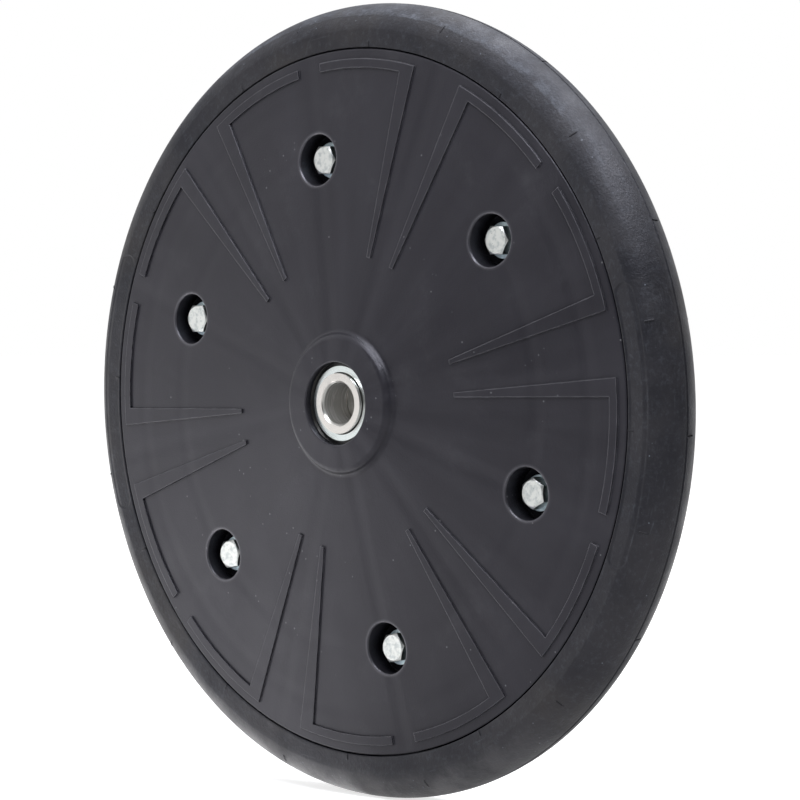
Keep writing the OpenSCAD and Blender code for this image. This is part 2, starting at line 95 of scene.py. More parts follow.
class NodeSketch:
    """Shorthand for the nodes of one tree."""

    def __init__(self, tree: bpy.types.NodeTree) -> None:
        """Starts on the node tree of a material or a world."""
        self.tree = tree

    @cached_property
    def place(self) -> Socket:
        """Place in the object's own frame, which is the wheel's frame."""
        return self.add("ShaderNodeTexCoord").outputs["Object"]

    @cached_property
    def axes(self) -> tuple[Socket, Socket, Socket]:
        """Place along X, Y and Z, in metres."""
        return tuple(self.add("ShaderNodeSeparateXYZ", {0: self.place}).outputs)

    @cached_property
    def radius(self) -> Socket:
        """Distance from the axle, in metres."""
        x, _, z = self.axes
        return self.math("SQRT", self.total(self.product(x, x), self.product(z, z)))

    @cached_property
    def angle(self) -> Socket:
        """Angle on the wheel, in radians."""
        x, _, z = self.axes
        return self.math("ARCTAN2", z, x)

    def feed(self, socket: Socket, value: "Socket | float | Sequence[float]") -> None:
        """Links or sets one input.

        Args:
            socket: The input.
            value: An output to link, or a plain value.
        """
        if isinstance(value, Socket):
            self.tree.links.new(value, socket)
        else:
            socket.default_value = value

    def add(self, kind: str, inputs: dict | None = None, **settings: object) -> bpy.types.Node:
        """Adds a node.

        Args:
            kind: Type name of the node.
            inputs: Values or sockets by the name or number of the input.
            settings: Properties of the node itself.

        Returns:
            The new node.
        """
        node = self.tree.nodes.new(kind)
        for name, value in settings.items():
            setattr(node, name, value)
        for key, value in (inputs or {}).items():
            self.feed(node.inputs[key], value)
        return node

    def math(self, operation: str, *terms: "Socket | float") -> Socket:
        """Result of one arithmetic step on one to three terms."""
        return self.add("ShaderNodeMath", dict(enumerate(terms)), operation=operation).outputs[0]

    def total(self, *terms: "Socket | float") -> Socket:
        """Sum of several terms."""
        return reduce(lambda one, other: self.math("ADD", one, other), terms)

    def product(self, *terms: "Socket | float") -> Socket:
        """Product of several terms."""
        return reduce(lambda one, other: self.math("MULTIPLY", one, other), terms)

    def dot(self, first: Socket, second: "Socket | Sequence[float]") -> Socket:
        """Scalar product of two vectors."""
        node = self.add("ShaderNodeVectorMath", {0: first, 1: second}, operation="DOT_PRODUCT")
        return node.outputs["Value"]

    def fade(self, value: Socket, low: float, high: float, start: float = 0.0, end: float = 1.0) -> Socket:
        """Soft change from one level to another.

        Args:
            value: What the change follows.
            low: Value at which it starts.
            high: Value at which it ends, which may be the smaller one.
            start: Level before it.
            end: Level after it.

        Returns:
            The level.
        """
        if low > high:
            low, high, start, end = high, low, end, start
        inputs = {"Value": value, "From Min": low, "From Max": high, "To Min": start, "To Max": end}
        return self.add("ShaderNodeMapRange", inputs, interpolation_type="SMOOTHSTEP").outputs["Result"]

    def ridge(self, value: Socket, middle: float, half_width: float) -> Socket:
        """Soft hump of height 1 round a middle value."""
        away = self.math("ABSOLUTE", self.math("SUBTRACT", value, middle))
        return self.fade(away, half_width, 0.0)

    def blend(self, share: "Socket | float", first: object, second: object) -> Socket:
        """Mix of two colours.

        Args:
            share: How much of the second one.
            first: Colour or socket.
            second: Colour or socket.

        Returns:
            The mixed colour.
        """
        node = self.add("ShaderNodeMix", {0: share}, data_type="RGBA")
        for key, value in ((6, first), (7, second)):
            self.feed(node.inputs[key], value if isinstance(value, Socket) else (*value, 1.0))
        return node.outputs[2]

    def layers(self, base: object, *layers: tuple[object, object]) -> Socket:
        """Colour of a base under several layers, each given as its share and its colour."""
        return reduce(lambda under, layer: self.blend(layer[0], under, layer[1]), layers, base)

    def off_spoke(self, first: float, step: float) -> Socket:
        """Angle in radians from the nearest of evenly spaced spokes, whose angles are in degrees."""
        half = math.radians(step) / 2
        return self.math("WRAP", self.math("SUBTRACT", self.angle, math.radians(first)), half, -half)

    def beside_spoke(self, first: float, step: float) -> Socket:
        """Distance to the side of the nearest spoke, in metres."""
        return self.product(self.radius, self.math("SINE", self.off_spoke(first, step)))

    def round_place(self, around: float, across: float) -> Socket:
        """Place for patterns that run round the wheel, with no seam.

        Args:
            around: Stretch along the circle.
            across: Stretch along the radius and the axle.

        Returns:
            The place to read a pattern at.
        """
        turn_x = self.product(self.math("COSINE", self.angle), around)
        turn_y = self.product(self.math("SINE", self.angle), around)
        depth = self.total(self.radius, self.product(self.axes[1], AXLE_WEIGHT))
        parts = {0: turn_x, 1: turn_y, 2: self.product(depth, across)}
        return self.add("ShaderNodeCombineXYZ", parts).outputs[0]

    def bump(self, height: Socket, depth: float, normal: Socket) -> Socket:
        """Normal of a surface with a relief, whose height from 0 to 1 stands for a depth in metres."""
        inputs = {"Height": height, "Distance": depth, "Strength": 1.0, "Normal": normal}
        return self.add("ShaderNodeBump", inputs).outputs[0]

    def rounded(self, radius: float) -> Socket:
        """Normal that gives sharp edges a rounded look."""
        return self.add("ShaderNodeBevel", {"Radius": radius}, samples=RAY_SAMPLES).outputs[0]

    def edges(self, rounded: Socket) -> Socket:
        """Level that is 1 where a rounded normal shows an edge."""
        plain = self.add("ShaderNodeNewGeometry").outputs["Normal"]
        return self.fade(self.dot(rounded, plain), *EDGE_LIKENESS)

    def openness(self, reach: float) -> Socket:
        """Open share of the space within a reach: 1 on a plain face, near 0 deep in a hollow."""
        node = self.add("ShaderNodeAmbientOcclusion", {"Distance": reach}, samples=RAY_SAMPLES)
        return node.outputs["AO"]


class MaterialSketch(NodeSketch):
    """Shorthand for the nodes of one new material."""

    def __init__(self, name: str) -> None:
        """Starts a material that holds only its shader.

        Args:
            name: Name of the material.
        """
        self.material = bpy.data.materials.new(name)
        self.material.use_nodes = True
        super().__init__(self.material.node_tree)
        self.shader = self.tree.nodes["Principled BSDF"]

    def dress(self, **inputs: object) -> None:
        """Feeds the shader's own inputs, named with underscores for spaces."""
        for name, value in inputs.items():
            self.feed(self.shader.inputs[name.replace("_", " ")], value)


@dataclass(frozen=True)
class Noise:
    """A cloudy pattern with levels from 0 to 1, which may be stretched round the wheel."""

    scale: float
    detail: float = 3.0
    rough: float = 0.55
    stretch: Span | None = None

    def level(self, sketch: NodeSketch) -> Socket:
        """Level of the pattern.

        Args:
            sketch: The material's nodes.

        Returns:
            The level at each place.
        """
        place = sketch.round_place(*self.stretch) if self.stretch else sketch.place
        inputs = {"Vector": place, "Scale": self.scale, "Detail": self.detail, "Roughness": self.rough}
        return sketch.add("ShaderNodeTexNoise", inputs).outputs[0]


@dataclass(frozen=True)
class Cloud:
    """A level that changes softly over part of a noise's range."""

    noise: Noise
    span: Span = MID_SPAN
    levels: Span = (0.0, 1.0)

    def level(self, sketch: NodeSketch) -> Socket:
        """The level at each place."""
        return sketch.fade(self.noise.level(sketch), *self.span, *self.levels)


@dataclass(frozen=True)
class Relief:
    """A fine relief that a noise makes on a surface."""

    noise: Noise
    depth: float

    def on(self, sketch: NodeSketch, normal: Socket) -> Socket:
        """Normal of a surface with the relief on it."""
        return sketch.bump(self.noise.level(sketch), self.depth, normal)


@dataclass(frozen=True)
class Specks:
    """Small round specks in those cells of a pattern that are over a limit."""

    scale: float
    limit: "Cloud | float"
    size: Span
    strength: float

    def share(self, sketch: NodeSketch) -> Socket:
        """Where the specks lie.

        Args:
            sketch: The material's nodes.

        Returns:
            Share of their colour.
        """
        cells = sketch.add("ShaderNodeTexVoronoi", {"Vector": sketch.place, "Scale": self.scale}).outputs
        limit = self.limit.level(sketch) if isinstance(self.limit, Cloud) else self.limit
        chosen = sketch.math("GREATER_THAN", cells["Color"], limit)
        return sketch.product(chosen, sketch.fade(cells["Distance"], *self.size), self.strength)


def soft_step(value: float) -> float:
    """Smooth change from 0 to 1 as the value goes from 0 to 1."""
    value = min(max(value, 0.0), 1.0)
    return value * value * (3.0 - 2.0 * value)


@dataclass(frozen=True)
class VentTicks:
    """A ring of small moulded ticks, one at each vent; its foot and the dark band painted over it are in
    half widths of a tick.
    """

    first: float
    reach: Span
    height: float
    half_width: float = 0.28 * MM
    step: float = 30.0
    foot: float = 1.6
    shade_and_grime_width: float = 2.6

    def turns(self) -> list[float]:
        """Angles of the ticks, in degrees."""
        return [(self.first + self.step * i) % FULL_TURN for i in range(round(FULL_TURN / self.step))]

    def row_turns(self, radius: float) -> list[float]:
        """Angles of the rows of points that each tick needs.

        Args:
            radius: Distance from the axle at which its width is measured.

        Returns:
            The angles, in degrees.
        """
        width = math.degrees(self.half_width / radius)
        offs = (-self.foot, -1.0, 0.0, 1.0, self.foot)
        return [(turn + width * off) % FULL_TURN for turn in self.turns() for off in offs]

    def level(self, radius: float, angle: float) -> float:
        """Height of the ticks at one place.

        Args:
            radius: Distance from the axle.
            angle: Angle on the wheel, in degrees.

        Returns:
            The height.
        """
        if not self.reach[0] <= radius <= self.reach[1]:
            return 0.0
        off = (angle - self.first + self.step / 2) % self.step - self.step / 2
        aside = abs(math.radians(off)) * radius
        return self.height * soft_step((self.foot - aside / self.half_width) / (self.foot - 1.0))

    def shade_and_grime(self, sketch: NodeSketch) -> Socket:
        """Dark band over and beside each tick: partly grime, partly painted shade beside the raised tick.

        Args:
            sketch: The material's nodes.

        Returns:
            Share of the dirt.
        """
        aside = sketch.beside_spoke(self.first, self.step)
        near = sketch.ridge(aside, 0.0, self.half_width * self.shade_and_grime_width)
        past_start = sketch.math("GREATER_THAN", sketch.radius, self.reach[0])
        before_end = sketch.math("LESS_THAN", sketch.radius, self.reach[1])
        return sketch.product(near, past_start, before_end)


RIM_TICKS = VentTicks(27.6, (169.2 * MM, 171.9 * MM), 0.35 * MM)
SHOULDER_TICKS = VentTicks(13.3, (182.2 * MM, 185.6 * MM), 0.40 * MM)
CREST_CUTS = VentTicks(27.2, (189.0 * MM, 191.0 * MM), 0.70 * MM)


@dataclass(frozen=True)
class MouldedNylon:
    """Black satin nylon of the half rims, with flow marks, sink marks over inner ribs, some dust, painted
    shade in the pockets and creases and a painted sheen on the pocket edges.
    """

    slot: str = "rim_nylon"
    base: Colour = (0.0112, 0.0106, 0.0145)
    cloud: Colour = (0.0180, 0.0172, 0.0222)
    dust: Colour = (0.20, 0.20, 0.21)
    # Colour of the painted shade that darkens the bolt pockets and other deep hollows
    hollow: Colour = (0.003, 0.003, 0.004)
    worn: Colour = (0.200, 0.196, 0.215)
    tint: tuple[float, float, float, float] = (0.92, 0.90, 1.0, 1.0)
    flow: Noise = Noise(1.0, 4.0, stretch=(5.0, 7.0))
    cloud_noise: Noise = Noise(8.0, 5.0)
    cloud_span: Span = (0.80, 1.25)
    matt_noise: Noise = Noise(40.0, 4.0)
    matt_span: Span = (0.7, 1.3)
    roughness: Span = (0.30, 0.42)
    rubbed: Cloud = Cloud(Noise(160.0), levels=(0.35, 0.8))
    smudges: Cloud = Cloud(Noise(34.0, 7.0, 0.7), (0.52, 0.78), (0.0, 0.06))
    specks: Specks = Specks(260.0, Cloud(Noise(7.0), (0.45, 0.70), (0.90, 0.55)), (0.15, 0.05), 0.6)
    waves: Relief = Relief(Noise(16.0, 2.0), 0.8 * MM)
    grain: Relief = Relief(Noise(1500.0, 2.0), 0.080 * MM)
    edge_radius: float = 0.8 * MM
    corner_reach: float = 1.8 * MM
    corner_span: Span = (0.50, 0.85)
    # Specular level from the deepest creases, where it is lowered as painted shade, to open faces
    shine: Span = (0.10, 0.50)
    # Reach, openness span and specular span of the painted shade in the pockets
    painted_shade_reach: float = 14 * MM
    hollow_painted_shade: Span = (0.52, 0.24)
    hollow_shade_shine: Span = (0.25, 0.55)
    spoke_turn: float = 41.2
    rib_step: float = 30.0
    sink_rings: tuple[float, ...] = (118 * MM, 148 * MM)
    sink_width: float = 6 * MM
    sink_depth: float = 0.10 * MM
    pocket_step: float = 60.0
    pocket_circle: float = 118 * MM
    pocket_edge: float = 12.7 * MM
    pocket_band: float = 1.5 * MM
    # Specular level added as a painted sheen on the pocket edges
    pocket_painted_sheen: float = 0.7

    def sink_marks(self, sketch: NodeSketch) -> Socket:
        """Shallow hollows over the ribs inside.

        Args:
            sketch: The material's nodes.

        Returns:
            Level of the surface, 1 where it isn't sunk.
        """
        aside = sketch.beside_spoke(self.spoke_turn, self.rib_step)
        rings = [sketch.ridge(sketch.radius, ring, self.sink_width) for ring in self.sink_rings]
        marks = sketch.total(sketch.ridge(aside, 0.0, self.sink_width), *rings)
        return sketch.math("SUBTRACT", 1.0, marks)

    def pocket_sheen_ring(self, sketch: NodeSketch) -> Socket:
        """Ring round the edges of the bolt pockets, where a painted sheen raises the specular level.

        Args:
            sketch: The material's nodes.

        Returns:
            Level that is 1 on the edges.
        """
        aside = sketch.beside_spoke(self.spoke_turn, self.pocket_step)
        inward = sketch.math("COSINE", sketch.off_spoke(self.spoke_turn, self.pocket_step))
        along = sketch.math("SUBTRACT", sketch.product(sketch.radius, inward), self.pocket_circle)
        square = sketch.total(sketch.product(aside, aside), sketch.product(along, along))
        return sketch.ridge(sketch.math("SQRT", square), self.pocket_edge, self.pocket_band)

    def make(self) -> bpy.types.Material:
        """Makes the material.

        Returns:
            The material.
        """
        sketch = MaterialSketch(self.slot)
        flow = self.flow.level(sketch)
        clouds = sketch.fade(sketch.total(self.cloud_noise.level(sketch), flow), *self.cloud_span)
        rounded = sketch.rounded(self.edge_radius)
        corners = sketch.openness(self.corner_reach)
        outer = sketch.fade(corners, *self.corner_span)
        # Painted shade: deep in the bolt pockets and other hollows the colour turns near black and the
        # specular level drops
        hollows = sketch.openness(self.painted_shade_reach)
        colour = sketch.layers(
            self.base,
            (clouds, self.cloud),
            (sketch.product(sketch.edges(rounded), self.rubbed.level(sketch), outer), self.worn),
            (self.specks.share(sketch), self.dust),
            (self.smudges.level(sketch), self.dust),
            (sketch.fade(hollows, *self.hollow_painted_shade), self.hollow),
        )
        # Painted shade: the specular level drops in the creases at the feet of the ribs and round other
        # inner corners
        shine = sketch.fade(corners, *self.corner_span, *self.shine)
        # Painted sheen: a raised specular level on a ring round the edge of each bolt pocket
        shine = sketch.total(shine, sketch.product(self.pocket_sheen_ring(sketch), self.pocket_painted_sheen))
        shine = sketch.product(shine, sketch.fade(hollows, *self.hollow_shade_shine))
        matt = sketch.total(self.matt_noise.level(sketch), flow)
        matt = sketch.fade(matt, *self.matt_span, *self.roughness)
        normal = self.waves.on(sketch, rounded)
        normal = sketch.bump(self.sink_marks(sketch), self.sink_depth, normal)
        normal = self.grain.on(sketch, normal)
        sketch.dress(Base_Color=colour, Roughness=matt, Normal=normal)
        sketch.dress(Specular_IOR_Level=shine, Specular_Tint=self.tint)
        return sketch.material


@dataclass(frozen=True)
class TyreRubber:
    """Black rubber with a pale wax bloom along the shoulder, brown film, fine scuffs, dust and a painted
    floor reflection below, and painted shade at the vent ticks.
    """

    slot: str = "tyre_rubber"
    base: Colour = (0.0066, 0.0072, 0.0108)
    grey: Colour = (0.0185, 0.0178, 0.0205)
    brown: Colour = (0.0310, 0.0270, 0.0225)
    bloom: Colour = (0.26, 0.29, 0.35)
    crack: Colour = (0.004, 0.004, 0.005)
    # Colour of the dust low on the tyre, which also paints in part of the floor's reflection
    dust: Colour = (0.195, 0.188, 0.190)
    tint: tuple[float, float, float, float] = (0.94, 0.92, 1.0, 1.0)
    patches: Cloud = Cloud(Noise(22.0, 5.0), (0.35, 0.72))
    stain: Cloud = Cloud(Noise(13.0, 5.0), (0.50, 0.74), (0.0, 0.7))
    scuffs: Cloud = Cloud(Noise(1.0, 5.0, stretch=(14.0, 700.0)), (0.60, 0.80), (0.0, 0.09))
    film: Cloud = Cloud(Noise(420.0, 7.0, 0.75), (0.48, 0.74), (0.0, 0.075))
    dots: Specks = Specks(420.0, 0.80, (0.20, 0.06), 0.4)
    matt: Cloud = Cloud(Noise(55.0, 4.0), levels=(0.38, 0.56))
    dents: Relief = Relief(Noise(45.0), 0.3 * MM)
    skin: Relief = Relief(Noise(170.0, 4.0), 0.20 * MM)
    grain: Relief = Relief(Noise(900.0, 4.0), 0.18 * MM)
    edge_radius: float = 0.3 * MM
    window_core: float = 0.25
    bloom_middle: float = 92.0
    bloom_reach: float = 84.0
    bloom_edge: float = 184.3 * MM
    ragged: Noise = Noise(1.0, 6.0, 0.7, (45.0, 60.0))
    edge_swing: float = 2.4 * MM
    bloom_rise: Span = (-0.3 * MM, 0.5 * MM)
    bloom_fall: Span = (185.5 * MM, 189.6 * MM)
    crest_bloom: float = 0.30
    smears: Cloud = Cloud(Noise(1.0, 7.0, 0.65, (14.0, 140.0)), (0.36, 0.64), (0.1, 1.0))
    fine: Cloud = Cloud(Noise(420.0, 4.0), (0.35, 0.65), (0.5, 1.0))
    most_bloom: float = 0.18
    bloom_matt: float = 0.20
    crack_noise: Noise = Noise(160.0)
    crack_half: float = 0.5 * MM
    crack_strength: float = 1.3
    dust_sheen_middle: float = -105.0
    dust_sheen_reach: float = 65.0
    dust_sheen_rise: Span = (174 * MM, 186 * MM)
    dust_sheen_clouds: Cloud = Cloud(Noise(60.0, 6.0, 0.65), (0.34, 0.66), (0.35, 1.0))
    most_dust_sheen: float = 0.60
    ticks: tuple[VentTicks, ...] = (RIM_TICKS, SHOULDER_TICKS)
    # Strength of the painted shade and grime at the vent ticks
    tick_shade_and_grime: float = 0.9

    def window(self, sketch: NodeSketch, middle: float, reach: float) -> Socket:
        """Strength of a film round the wheel, from its middle and its reach to either side in degrees."""
        away = sketch.math("ABSOLUTE", sketch.off_spoke(middle, FULL_TURN))
        return sketch.fade(away, math.radians(reach), math.radians(reach) * self.window_core)

    def dust_and_sheen_share(self, sketch: NodeSketch) -> Socket:
        """Share of the pale layer low on the tyre: dust and rubbed places where it runs on the soil, and
        partly a painted reflection of the floor.
        """
        outer = sketch.product(sketch.fade(sketch.radius, *self.dust_sheen_rise), self.dust_sheen_clouds.level(sketch))
        return sketch.product(self.window(sketch, self.dust_sheen_middle, self.dust_sheen_reach), outer, self.most_dust_sheen)

    def bloom_step(self, sketch: NodeSketch) -> Socket:
        """Distance past the bloom's ragged inner edge.

        Args:
            sketch: The material's nodes.

        Returns:
            Distance in metres, positive towards the crest.
        """
        ragged = sketch.math("SUBTRACT", self.ragged.level(sketch), 0.5)
        reach = sketch.total(sketch.radius, sketch.product(ragged, self.edge_swing))
        return sketch.math("SUBTRACT", reach, self.bloom_edge)

    def bloom_share(self, sketch: NodeSketch, step: Socket, window: Socket) -> Socket:
        """Where the bloom lies, and how thick.

        Args:
            sketch: The material's nodes.
            step: Distance past its inner edge.
            window: Its strength round the wheel.

        Returns:
            Share of the bloom's colour.
        """
        inner = sketch.fade(step, *self.bloom_rise)
        outer = sketch.fade(sketch.radius, *self.bloom_fall, 1.0, self.crest_bloom)
        pattern = sketch.product(self.smears.level(sketch), self.fine.level(sketch))
        return sketch.product(window, inner, outer, pattern, self.most_bloom)

    def crack_share(self, sketch: NodeSketch, step: Socket, window: Socket) -> Socket:
        """Share of the dark line along the bloom's inner edge."""
        near = sketch.ridge(step, self.bloom_rise[0], self.crack_half)
        return sketch.product(near, window, self.crack_noise.level(sketch), self.crack_strength)

    def make(self) -> bpy.types.Material:
        """Makes the material.

        Returns:
            The material.
        """
        sketch = MaterialSketch(self.slot)
        window = self.window(sketch, self.bloom_middle, self.bloom_reach)
        step = self.bloom_step(sketch)
        # Painted shade with some grime: a near black band over and beside each vent tick
        shade_and_grime = [sketch.product(ticks.shade_and_grime(sketch), self.tick_shade_and_grime) for ticks in self.ticks]
        colour = sketch.layers(
            self.base,
            (self.patches.level(sketch), self.grey),
            (self.stain.level(sketch), self.brown),
            (self.bloom_share(sketch, step, window), self.bloom),
            (self.crack_share(sketch, step, window), self.crack),
            (self.scuffs.level(sketch), self.bloom),
            (self.film.level(sketch), self.bloom),
            (self.dots.share(sketch), self.bloom),
            # Dust, and partly a painted reflection of the floor, low on the crown
            (self.dust_and_sheen_share(sketch), self.dust),
            *((share, self.crack) for share in shade_and_grime),
        )
        matt = sketch.total(self.matt.level(sketch), sketch.product(window, self.bloom_matt))
        normal = sketch.rounded(self.edge_radius)
        for relief in (self.dents, self.skin, self.grain):
            normal = relief.on(sketch, normal)
        sketch.dress(Base_Color=colour, Roughness=matt, Normal=normal, Specular_Tint=self.tint)
        return sketch.material


@dataclass(frozen=True)
class ZincPlate:
    """Zinc plating on the bolts, washers and nuts, a little mottled and pitted."""

    slot: str = "zinc_plate"
    bright: Colour = (0.88, 0.90, 0.88)
    dull: Colour = (0.62, 0.66, 0.66)
    pit: Colour = (0.20, 0.22, 0.22)
    roughness: Span = (0.28, 0.42)
    matt_noise: Noise = Noise(700.0)
    mottle: Cloud = Cloud(Noise(380.0, 5.0), (0.42, 0.66))
    pits: Specks = Specks(700.0, 0.72, (0.22, 0.10), 0.6)
    relief: Relief = Relief(Noise(900.0, 2.0), 0.020 * MM)
    edge_radius: float = 0.2 * MM

    def make(self) -> bpy.types.Material:
        """Makes the material.

        Returns:
            The material.
        """
        sketch = MaterialSketch(self.slot)
        mottle = (self.mottle.level(sketch), self.dull)
        colour = sketch.layers(self.bright, mottle, (self.pits.share(sketch), self.pit))
        matt = sketch.fade(self.matt_noise.level(sketch), *MID_SPAN, *self.roughness)
        normal = self.relief.on(sketch, sketch.rounded(self.edge_radius))
        sketch.dress(Base_Color=colour, Metallic=1.0, Roughness=matt, Normal=normal)
        return sketch.material


@dataclass(frozen=True)
class OilAndShadeBand:
    """A band between two radii with its own colour and metalness: the oil film in the bearing's bore, and
    painted shade on the shields' recessed outer band.
    """

    start: float
    end: float
    colour: Colour
    metal: float
    blur: float = 0.12 * MM

    def share(self, sketch: NodeSketch) -> Socket:
        """How much of the band lies at each place, from 0 to 1."""
        rise = sketch.fade(sketch.radius, self.start - self.blur, self.start)
        return sketch.product(rise, sketch.fade(sketch.radius, self.end + self.blur, self.end))


@dataclass(frozen=True)
class TurnedSteel:
    """Ground or pressed steel with fine lines round the axle, and a band between two radii: oil where the
    bearing runs, painted shade on the shields' recessed outer band.
    """

    slot: str
    bright: Colour
    dull: Colour
    roughness: Span
    # Oil film on the bearing steel; on the pressed steel, painted shade on the shields' recessed outer band
    film: OilAndShadeBand
    lines: Noise = Noise(1.0, stretch=(0.6, 5200.0))
    smears: Cloud = Cloud(Noise(150.0, 4.0), (0.45, 0.75))
    edge_radius: float = 0.15 * MM
    line_depth: float = 0.0008 * MM

    def make(self) -> bpy.types.Material:
        """Makes the material.

        Returns:
            The material.
        """
        sketch = MaterialSketch(self.slot)
        lines = self.lines.level(sketch)
        share = self.film.share(sketch)
        smears = (self.smears.level(sketch), self.dull)
        colour = sketch.layers(self.bright, smears, (share, self.film.colour))
        metal = sketch.fade(share, 0.0, 1.0, 1.0, self.film.metal)
        matt = sketch.fade(lines, *MID_SPAN, *self.roughness)
        normal = sketch.bump(lines, self.line_depth, sketch.rounded(self.edge_radius))
        sketch.dress(Base_Color=colour, Metallic=metal, Roughness=matt, Normal=normal)
        return sketch.material


@dataclass(frozen=True)
class InsertNylon:
    """Milky nylon of the locking rings in the nuts."""

    slot: str = "insert_nylon"
    base: Colour = (0.74, 0.76, 0.72)
    stained: Colour = (0.55, 0.56, 0.52)
    stain: Cloud = Cloud(Noise(500.0), (0.5, 0.8))
    matt: Cloud = Cloud(Noise(900.0), levels=(0.42, 0.6))
    relief: Relief = Relief(Noise(2500.0), 0.01 * MM)
    edge_radius: float = 0.15 * MM

    def make(self) -> bpy.types.Material:
        """Makes the material.

        Returns:
            The material.
        """
        sketch = MaterialSketch(self.slot)
        colour = sketch.blend(self.stain.level(sketch), self.base, self.stained)
        normal = self.relief.on(sketch, sketch.rounded(self.edge_radius))
        sketch.dress(Base_Color=colour, Roughness=self.matt.level(sketch), Normal=normal)
        return sketch.material


BORE_OIL = OilAndShadeBand(start=0.0, end=10.6 * MM, colour=(0.49, 0.48, 0.46), metal=0.60)
# Painted shade: the pressed steel turns near black beyond 17.9 mm, on the shields' recessed outer band,
# where the shade lies
SHIELD_BAND_SHADE = OilAndShadeBand(start=17.9 * MM, end=24.0 * MM, colour=(0.010, 0.010, 0.011), metal=0.0)
FINISHES = (
    MouldedNylon(),
    TyreRubber(),
    ZincPlate(),
    ZincPlate("washer_zinc", (0.72, 0.86, 0.92), (0.58, 0.70, 0.76), roughness=(0.34, 0.50)),
    TurnedSteel("bearing_steel", (0.84, 0.81, 0.78), (0.72, 0.70, 0.68), (0.22, 0.28), BORE_OIL),
    TurnedSteel("pressed_steel", (0.86, 0.92, 0.92), (0.74, 0.80, 0.80), (0.22, 0.34), SHIELD_BAND_SHADE),
    InsertNylon(),
)


class FinishBook:
    """The finished materials, by name."""

    def __init__(self) -> None:
        """Makes each finish once."""
        self._made = {finish.slot: finish.make() for finish in FINISHES}

    def dress_node(self, name: str, finish: str) -> None:
        """Gives a CAD node its finish, both by name."""
        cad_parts[name].material_slots[0].material = self._made[finish]
        LOG.info("dressed %s with %s", name, finish)

    def dress_piece(self, piece: bpy.types.Object, slot: str) -> None:
        """Gives a new piece the finish of that slot."""
        piece.data.materials.append(self._made[slot])


class MeshMaker:
    """Collects rows of points and turns them into one object."""

    def __init__(self, name: str) -> None:
        """Starts an empty mesh for an object of that name."""
        self.name = name
        self.mesh = bmesh.new()

    def rows(self, rows: Sequence[Sequence[Vector]], closed: bool = False) -> None:
        """Adds a skin over rows of points that each run round.

        Args:
            rows: Rows with the same number of points.
            closed: Whether the last row joins the first; if not, both ends are filled.
        """
        made = [[self.mesh.verts.new(point) for point in row] for row in rows]
        pairs = list(zip(made, made[1:]))
        if closed:
            pairs.append((made[-1], made[0]))
        count = len(made[0])
        for first, second in pairs:
            for i in range(count):
                j = (i + 1) % count
                self.mesh.faces.new((first[i], first[j], second[j], second[i]))
        if not closed:
            for row in (made[0], made[-1]):
                middle = self.mesh.verts.new(sum((vert.co for vert in row), Vector()) / count)
                for i in range(count):
                    self.mesh.faces.new((middle, row[i], row[(i + 1) % count]))

    def finish(self, sharp: float = 35.0) -> bpy.types.Object:
        """Makes the object.

        Args:
            sharp: Angle in degrees above which an edge stays sharp.

        Returns:
            The object, linked into the scene.
        """
        bmesh.ops.recalc_face_normals(self.mesh, faces=self.mesh.faces)
        for edge in self.mesh.edges:
            edge.smooth = edge.calc_face_angle(0.0) < math.radians(sharp)
        for face in self.mesh.faces:
            face.smooth = True
        data = bpy.data.meshes.new(self.name)
        self.mesh.to_mesh(data)
        self.mesh.free()
        piece = bpy.data.objects.new(self.name, data)
        bpy.context.scene.collection.objects.link(piece)
        return piece


def arc(middle: Point, radius: float, start: float, end: float, steps: int) -> list[Point]:
    """Points along an arc from one angle to another, in radians."""
    turns = (start + (end - start) * i / steps for i in range(steps + 1))
    return [(middle[0] + radius * math.cos(turn), middle[1] + radius * math.sin(turn)) for turn in turns]


def line(start: Point, end: Point, steps: int) -> list[Point]:
    """Points along a straight line, from its first point to its last."""
    shares = (i / steps for i in range(steps + 1))
    return [tuple(a + (b - a) * share for a, b in zip(start, end)) for share in shares]


